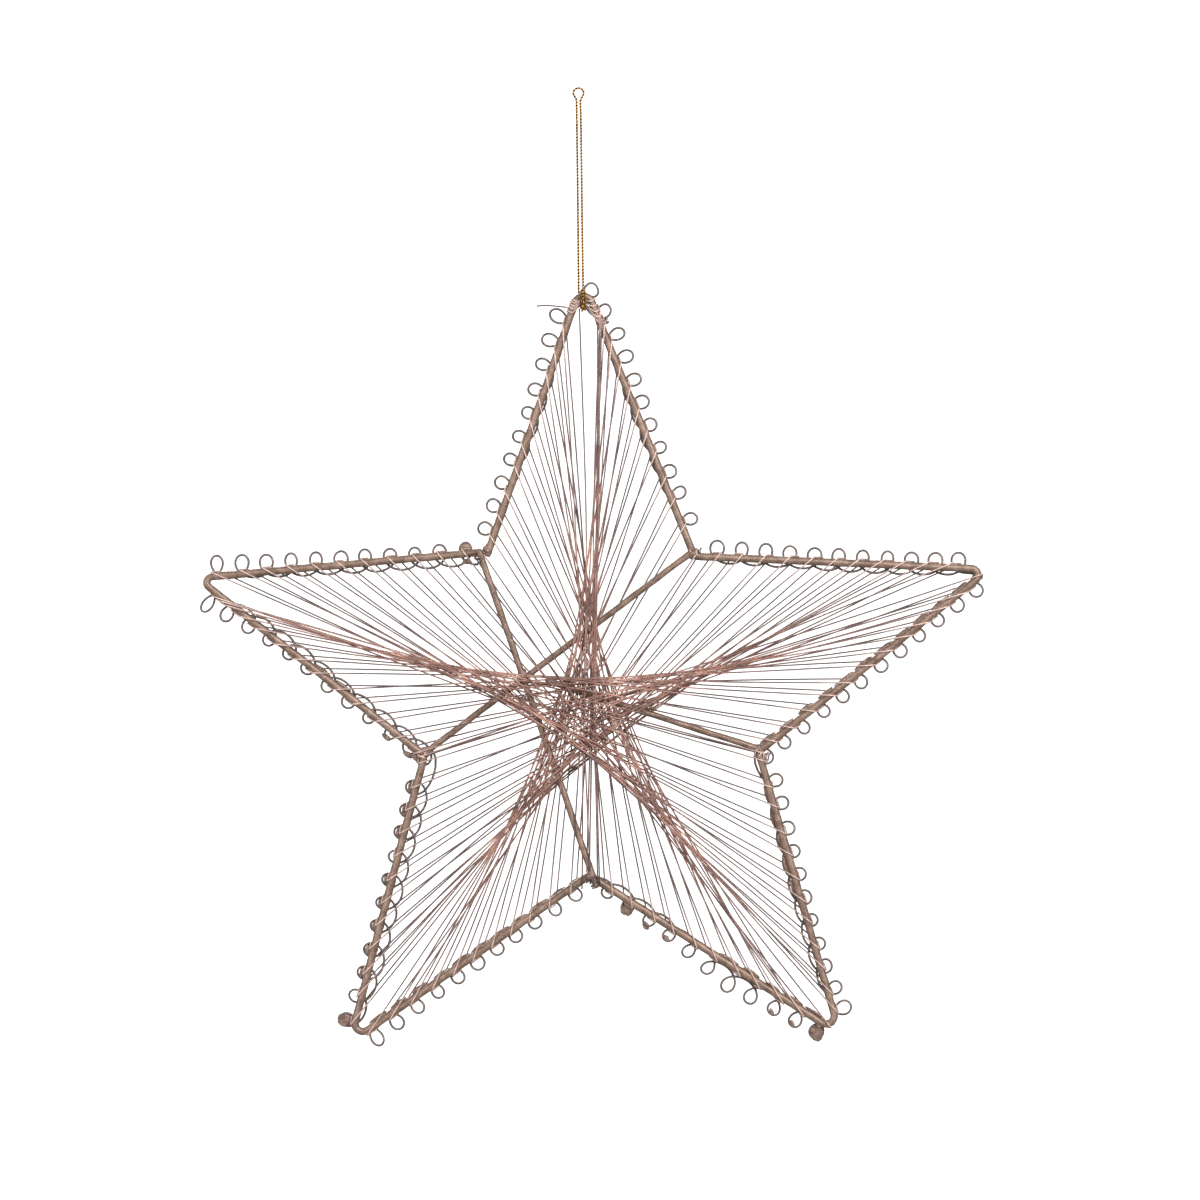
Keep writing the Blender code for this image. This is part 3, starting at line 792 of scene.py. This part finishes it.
def windingRun(fromPlace, toPlace, front, order):
    # One run of the wire with its quarter turns round the rod at both ends.
    (startAxis, startOut), (endAxis, endOut) = onRod(fromPlace), onRod(toPlace)
    start, end = startAxis + startOut * wrapRadius, endAxis + endOut * wrapRadius
    length = (end - start).length
    ahead = (end - start) / length
    across = Vector((ahead.y, -ahead.x))
    sign = -1 if front else 1
    deep = wrapRadius if front else winding["backDepth"]
    slantStart = max(-ahead.dot(startOut), winding["leastSlant"])
    slantEnd = max(ahead.dot(endOut), winding["leastSlant"])
    quarter = [math.radians(angle) for angle in winding["quarterTurn"]]
    head = [((1 - math.cos(angle)) * wrapRadius / slantStart, deep * math.sin(angle)) for angle in quarter]
    tail = [(length - (1 - math.cos(angle)) * wrapRadius / slantEnd, deep * math.sin(angle))
            for angle in reversed(quarter)]
    first, last = head[-1][0], tail[0][0]
    crossing = crossingShare(start, end) if front else None
    parts = winding["parts"]
    stops = {first + (last - first) * number / parts for number in range(1, parts)}
    stops |= {first + winding["endStop"], last - winding["endStop"]}
    if crossing:
        middle = crossing * length
        onStrut = [middle + step for step in winding["strutStops"]]
        stops |= {walked for walked in onStrut if first + 1 < walked < last - 1}
    points = []
    stray = random.uniform(-1, 1) * winding["sideStray"]
    wave = random.uniform(-0.5, 0.5) * winding["sideStray"]
    for walked in sorted(stops):
        inside = min(walked - first, last - walked)
        pile = winding["pileStep"] * order * math.sin(math.pi / 2 * min(1, inside / winding["pileReach"]))
        lift = 0.0
        if crossing:
            reach = (middle - first) if walked < middle else (last - middle)
            away = max(abs(walked - middle) - winding["strutRest"], 0)
            lift = (strutTop - deep) * max(0, 1 - away / max(reach, 1))
        turn = math.pi * (walked - first) / (last - first)
        bow = stray * math.sin(turn) + wave * math.sin(2 * turn)
        points.append((walked, deep + max(pile, 0) + lift, bow))
    whole = [(*place, 0.0) for place in head] + points + [(*place, 0.0) for place in tail]
    return [placed(start + ahead * walked + across * bow, sign * depth) for walked, depth, bow in whole]


def paintWrapHighlight(wire):
    # Marks how near each place of the wire is to the rod's axis, for the painted highlight on its
    # wraps in its material, weaker behind the rod.
    tree = kdtree.KDTree(len(axisPoints))
    for number, flat in enumerate(axisPoints):
        tree.insert(placed(flat, 0.0), number)
    tree.balance()
    wrapHighlight = wire.data.attributes.new("wrapHighlight", "FLOAT", "POINT")
    near, far = winding["wrapHighlight"]
    for vertex, mark in zip(wire.data.vertices, wrapHighlight.data):
        away = tree.find(vertex.co)[2] / mm
        shine = 1.0 if vertex.co.y < winding["frontDepth"] * mm else winding["behindShine"]
        mark.value = shine * min(max((far - away) / (far - near), 0), 1)


def markCrowdedLit(wire, run):
    # Marks how many runs pass near each place of the wire, for the painted shade and painted light in
    # its material.
    cell = winding["crowdCell"]
    passing = {}
    for before, here in zip(run, run[1:]):
        steps = max(1, round((here - before).length / (0.5 * cell * mm)))
        for step in range(steps):
            spot = before.lerp(here, step / steps) / mm
            key = (round(spot.x / cell), round(spot.z / cell))
            passing[key] = passing.get(key, 0) + 1
    crowdedLit = wire.data.attributes.new("crowdedLit", "FLOAT", "POINT")
    few, many = winding["crowd"]
    for vertex, mark in zip(wire.data.vertices, crowdedLit.data):
        right, up = round(vertex.co.x / mm / cell), round(vertex.co.z / mm / cell)
        near = sum(passing.get((right + i, up + j), 0) for i in (-1, 0, 1) for j in (-1, 0, 1))
        mark.value = min(max((near - few) / (many - few), 0), 1)


def addWinding():
    places = turningPlaces()
    half = len(places) // 2
    run = []
    for number in range(half):
        near, far, after = places[number], places[number + half], places[number + 1]
        run += windingRun(near[0], far[0], True, number)
        run += windingRun(far[1], after[1], False, number)
    total = sum((here - before).length for before, here in zip(run, run[1:]))
    wire = bentWire("windingWire", [run, lashing(), *straightDown(), *allBindings()], winding["wire"])
    paintWrapHighlight(wire)
    markCrowdedLit(wire, run)
    dress(wire, roseCopper, "copper_wire", "winding_wire_1", "winding_wire_2", "winding_wire_3",
          "winding_wire_4", "winding_wire_5")
    print("winding wire:", len(places), "turns,", round(total, 2), "m")


# The winding wire's end is lashed round both legs of the top point, pinched together at the thread's
# knot, and its last bit sticks out to the left. Three lengths go straight down from there.
lashed = {
    "leftTurns": ((572.0, 298.3), (570.9, 301.2), (569.8, 304.3), (568.6, 307.5), (567.5, 310.9)),
    "rightTurns": ((594.0, 300.0), (597.2, 304.6), (600.0, 309.6), (602.2, 314.6), (604.0, 319.6)),
    "pinch": (582.6, 303.6),
    "pinchHeight": 1.6,
    "pinchDepth": -1.75,
    "pinchStray": 0.15,
    "outerDepth": 0.3,
    "frontReach": (0.7, 0.75),     # out and forwards from a leg's axis, in radii of the turns
    "innerReach": 0.3,
    "innerDepth": 1.08,            # in radii of the turns
    "behindLeg": 1.5,
    "back": ((590.0, 299.0, 1.6), (583.5, 296.0, 1.7), (577.0, 299.0, 1.6)),
    "tail": ((536.7, 306.0, 0.6), (545.0, 305.3, 0.2), (557.0, 306.4, -0.7), (569.0, 307.6, -1.25),
             (577.0, 306.0, -1.6)),
}


def fromPhotoRow(row):
    # Places from a row of pixels, each with its depth.
    return [placed(fromPhoto(right, down), depth) for right, down, depth in row]


def roundLeg(pixel):
    # The leg's axis, and the wire's places round the front of the leg from outside to inside.
    axis, out = onRod(nearestOnRod(fromPhoto(*pixel)))
    reachOut, reachForward = lashed["frontReach"]
    return axis, [
        placed(axis + out * wrapRadius, lashed["outerDepth"]),
        placed(axis + out * wrapRadius * reachOut, -wrapRadius * reachForward),
        placed(axis - out * lashed["innerReach"], -wrapRadius * lashed["innerDepth"]),
    ]


def lashing():
    pinch = fromPhoto(*lashed["pinch"])
    stray = lashed["pinchStray"]
    last = len(lashed["leftTurns"]) - 1
    route = fromPhotoRow(lashed["tail"])
    for number, (left, right) in enumerate(zip(lashed["leftTurns"], lashed["rightTurns"])):
        _, leftPlaces = roundLeg(left)
        rightAxis, rightPlaces = roundLeg(right)
        drop = Vector((0, lashed["pinchHeight"] * (0.5 - number / last)))
        route += leftPlaces
        route.append(placed(pinch + drop, lashed["pinchDepth"] + random.uniform(-stray, stray)))
        route += reversed(rightPlaces)
        route.append(placed(rightAxis, lashed["behindLeg"]))
        route += fromPhotoRow(lashed["back"])
    return smoothRoute(route, 0.35 * mm)[0]


# Right, down and depth of the lengths that go straight down in front of the winding.
downThreads = (
    ((600.6, 317.0, -1.3), (599.2, 345.0, -1.8), (597.6, 500.0, -3.2), (593.8, 700.0, -4.3),
     (596.2, 800.0, -3.9), (597.6, 882.0, -3.3)),
    ((601.6, 319.0, -1.3), (600.2, 345.0, -2.1), (598.8, 500.0, -3.5), (595.6, 690.0, -4.6),
     (597.4, 800.0, -3.9), (599.6, 884.0, -3.3)),
    ((579.3, 309.0, -1.6), (580.7, 348.0, -1.9), (585.9, 505.0, -3.3), (586.0, 620.0, -4.2),
     (583.2, 760.0, -3.6), (582.3, 868.0, -1.7), (582.0, 889.0, -1.3)),
)


def straightDown():
    return [smoothRoute(fromPhotoRow(row), 5 * mm)[0] for row in downThreads]


# Binding turns: along what they lie, how deep its middle is, its diameter and how many turns.
bindings = (
    ((602.8, 320.0), (605.0, 325.0), 0.0, 2.1, 2),
    ((590.8, 874.0), (597.0, 887.0), -2.1, 1.9, 4),
    ((770.0, 757.5), (755.0, 752.0), 0.0, 1.95, 4),
    ((702.0, 552.5), (690.0, 553.0), 0.0, 2.0, 2),
    ((429.0, 750.5), (421.0, 757.5), 0.0, 2.0, 2),
    ((478.0, 554.5), (480.5, 562.0), -2.1, 1.9, 2),
)
# How much the turns' radius and place vary, and how fast with their angle.
bindingTurns = {"steps": 14, "uneven": (0.06, 3.1), "slip": (0.25, 1.7)}


def turnsRound(start, end, depth, diameter, turns):
    # The wire wound closely round a straight stretch of rod or strut.
    first, last = fromPhoto(*start), fromPhoto(*end)
    across = Vector(((last - first).y, -(last - first).x)).normalized()
    (uneven, unevenRate), (slide, slideRate) = bindingTurns["uneven"], bindingTurns["slip"]
    steps = turns * bindingTurns["steps"]
    points = []
    for step in range(steps + 1):
        angle = math.tau * turns * step / steps
        radius = (diameter + winding["wire"]) / 2 * (1 + uneven * math.sin(unevenRate * angle))
        slip = slide * math.sin(slideRate * angle)
        flat = first.lerp(last, step / steps) + (last - first).normalized() * slip
        points.append(placed(flat + across * radius * math.cos(angle), depth + radius * math.sin(angle)))
    return points


def allBindings():
    return [turnsRound(*binding) for binding in bindings]


addWinding()


# Dried paint: pools in some loops, lumps where rods meet, and webs between rod and looped wire

pools = {
    "thickness": 0.2, "roughness": 0.15, "grain": 1.7,
    "filledDepth": 1.6, "filledOut": 0.85, "filledWidth": 1.62, "filledHeight": 1.65,
    "webIn": (1.05, 1.3), "webWidth": (2.2, 3.2), "webHeight": (0.45, 0.75), "webThickness": 0.5,
    "webDepth": 0.7,
}
# Each pool: its middle, half its width and half its height, how far it is turned, and its depth.
poolPlaces = (
    ((817.0, 1033.0), 1.8, 2.4, 12, 1.5), ((627.0, 909.0), 1.8, 1.9, 0, 1.5),
    ((645.8, 926.0), 0.85, 1.25, 30, 1.6), ((666.5, 939.3), 0.75, 1.1, 30, 1.6),
    ((771.8, 1012.8), 0.55, 1.15, 20, 1.6), ((792.6, 1024.4), 0.55, 1.15, 20, 1.6),
    ((345.0, 1020.5), 2.2, 1.8, -20, 1.5), ((408.0, 755.0), 1.6, 0.8, -30, 1.5),
    ((418.5, 756.5), 1.7, 1.4, 20, 1.2), ((386.0, 737.5), 1.4, 0.7, -40, 1.5),
    ((465.0, 547.0), 1.5, 1.0, 10, 1.3), ((467.0, 561.5), 1.3, 0.8, 0, 1.3),
)
# Lumps where two rods meet: place, depth, half width, half height and half depth.
lumps = (
    ((487.6, 550.0), 0.0, 1.35, 1.7, 1.2), ((483.0, 553.0), -0.3, 1.1, 0.9, 1.0),
    ((693.5, 553.5), -0.3, 1.7, 1.4, 1.2), ((424.5, 752.5), -0.2, 1.6, 1.5, 1.2),
    ((758.5, 750.0), 0.0, 1.6, 1.3, 1.1), ((590.5, 876.5), -0.9, 1.6, 1.4, 1.6),
    ((522.0, 672.0), -1.1, 1.1, 1.2, 1.0), ((583.5, 299.5), 0.5, 2.2, 1.2, 0.8),
)


def pool(flat, depth, size, turned, seed):
    # A drop of paint: a ball drawn out to its size, with an uneven edge.
    bpy.ops.object.select_all(action="DESELECT")
    bpy.ops.mesh.primitive_ico_sphere_add(subdivisions=4, radius=1)
    drop = bpy.context.object
    turn = math.radians(turned)
    middle = placed(flat, depth)
    for vertex in drop.data.vertices:
        uneven = 1 + paintSkin(vertex.co * pools["grain"] + Vector((seed, 0, 0))) * pools["roughness"]
        place = Vector((vertex.co.x * size[0], vertex.co.y * size[1], vertex.co.z * size[2])) * uneven
        vertex.co = middle + Vector((place.x * math.cos(turn) - place.z * math.sin(turn), place.y,
                                     place.x * math.sin(turn) + place.z * math.cos(turn))) * mm
    return drop


# Loops filled with paint, by side, and the stretches where paint webs the wire to the rod: side,
# first loop and last loop.
filledLoops = {7: (0, 2, 3, 4, 5, 6, 8, 9, 10)}
webs = ((3, 0, 11), (4, 0, 5), (5, 0, 5), (6, 1, 10), (8, 4, 6))


def onSide(side):
    return [loop for loop in loops if loop["side"] == side]


def slope(loop):
    return math.degrees(math.atan2(loop["forward"].y, loop["forward"].x))


def addDriedPaint():
    drops = []
    for seed, (pixel, width, height, turned, depth) in enumerate(poolPlaces):
        drops.append(pool(fromPhoto(*pixel), depth, (width, pools["thickness"], height), turned, seed * 3.7))
    for side, numbers in filledLoops.items():
        for number in numbers:
            here = onSide(side)[number]
            flat = here["foot"] + here["outward"] * (here["stand"] + pools["filledOut"] * here["height"])
            size = (pools["filledWidth"], pools["thickness"], pools["filledHeight"] * here["height"])
            drops.append(pool(flat, pools["filledDepth"], size, slope(here) + 90, side + number))
    for side, first, last in webs:
        row = onSide(side)[first:last + 1]
        for number, (here, after) in enumerate(zip(row, row[1:])):
            flat = (here["foot"] + after["foot"]) / 2 - here["outward"] * random.uniform(*pools["webIn"])
            size = (random.uniform(*pools["webWidth"]), pools["webThickness"],
                    random.uniform(*pools["webHeight"]))
            drops.append(pool(flat, pools["webDepth"], size, slope(here), side * 3 + number))
    for seed, (pixel, depth, width, height, deep) in enumerate(lumps):
        drops.append(pool(fromPhoto(*pixel), depth, (width, deep, height), 25 * seed, 50 + seed * 2.3))
    bpy.ops.object.select_all(action="DESELECT")
    for drop in drops:
        drop.select_set(True)
    bpy.context.view_layer.objects.active = drops[0]
    bpy.ops.object.join()
    paint = bpy.context.object
    paint.name = "driedPaint"
    bpy.ops.object.shade_smooth()
    dress(paint, driedPaint, "trim_paint")
    print("dried paint:", len(drops), "pools and lumps")


addDriedPaint()


# Stage: pale floor and backdrop, soft light from all round and above

stage = {"floor": -1.6, "radius": 4.5, "height": 7.0, "white": "#FAFAFA", "floorGlow": 0.9,
         "surroundGlow": 1.0, "overlap": 0.02}


def paleSheet(name, glow):
    made, _, shader = newMaterial(name, 0.0, 0.8)
    shader.inputs["Base Color"].default_value = linear(stage["white"])
    shader.inputs["Emission Color"].default_value = linear("#FFFFFF")
    shader.inputs["Emission Strength"].default_value = glow
    return made


def addStage():
    bpy.ops.mesh.primitive_circle_add(vertices=64, radius=stage["radius"], fill_type="NGON",
                                      location=(0, 0, stage["floor"]))
    floor = bpy.context.object
    floor.name = "paleFloor"
    floor.data.materials.append(paleSheet("pale floor", stage["floorGlow"]))
    middle = stage["floor"] + stage["height"] / 2 - stage["overlap"]
    bpy.ops.mesh.primitive_cylinder_add(vertices=64, radius=stage["radius"], depth=stage["height"],
                                        location=(0, 0, middle))
    surround = bpy.context.object
    surround.name = "whiteSurround"
    surround.data.materials.append(paleSheet("white surround", stage["surroundGlow"]))
    for sheet in (floor, surround):
        # Pale to look at, while the lamps alone light the star.
        sheet.visible_diffuse = False
        sheet.visible_glossy = False
        sheet.visible_shadow = False


lights = {
    "world": 0.42,
    "aim": (0.0, 0.0, -0.16),
    # Each lamp's place, width and power.
    "lamps": {
        "key": ((0.75, -1.7, 0.7), 1.4, 38),
        "fill": ((-1.2, -1.5, 0.1), 1.2, 14),
        "back": ((-0.5, 1.9, 0.7), 1.6, 46),
    },
}


def addLight(name, place, size, power):
    data = bpy.data.lights.new(name, "AREA")
    data.shape = "DISK"
    data.size = size
    data.energy = power
    lamp = bpy.data.objects.new(name, data)
    lamp.location = place
    lamp.rotation_euler = (Vector(lights["aim"]) - Vector(place)).to_track_quat("-Z", "Y").to_euler()
    bpy.context.scene.collection.objects.link(lamp)


def addLights():
    world = bpy.data.worlds.new("studio")
    bpy.context.scene.world = world
    world.use_nodes = True
    sky = world.node_tree.nodes["Background"]
    sky.inputs["Color"].default_value = linear("#FFFFFF")
    sky.inputs["Strength"].default_value = lights["world"]
    for name, lamp in lights["lamps"].items():
        addLight(name, *lamp)


addStage()
addLights()
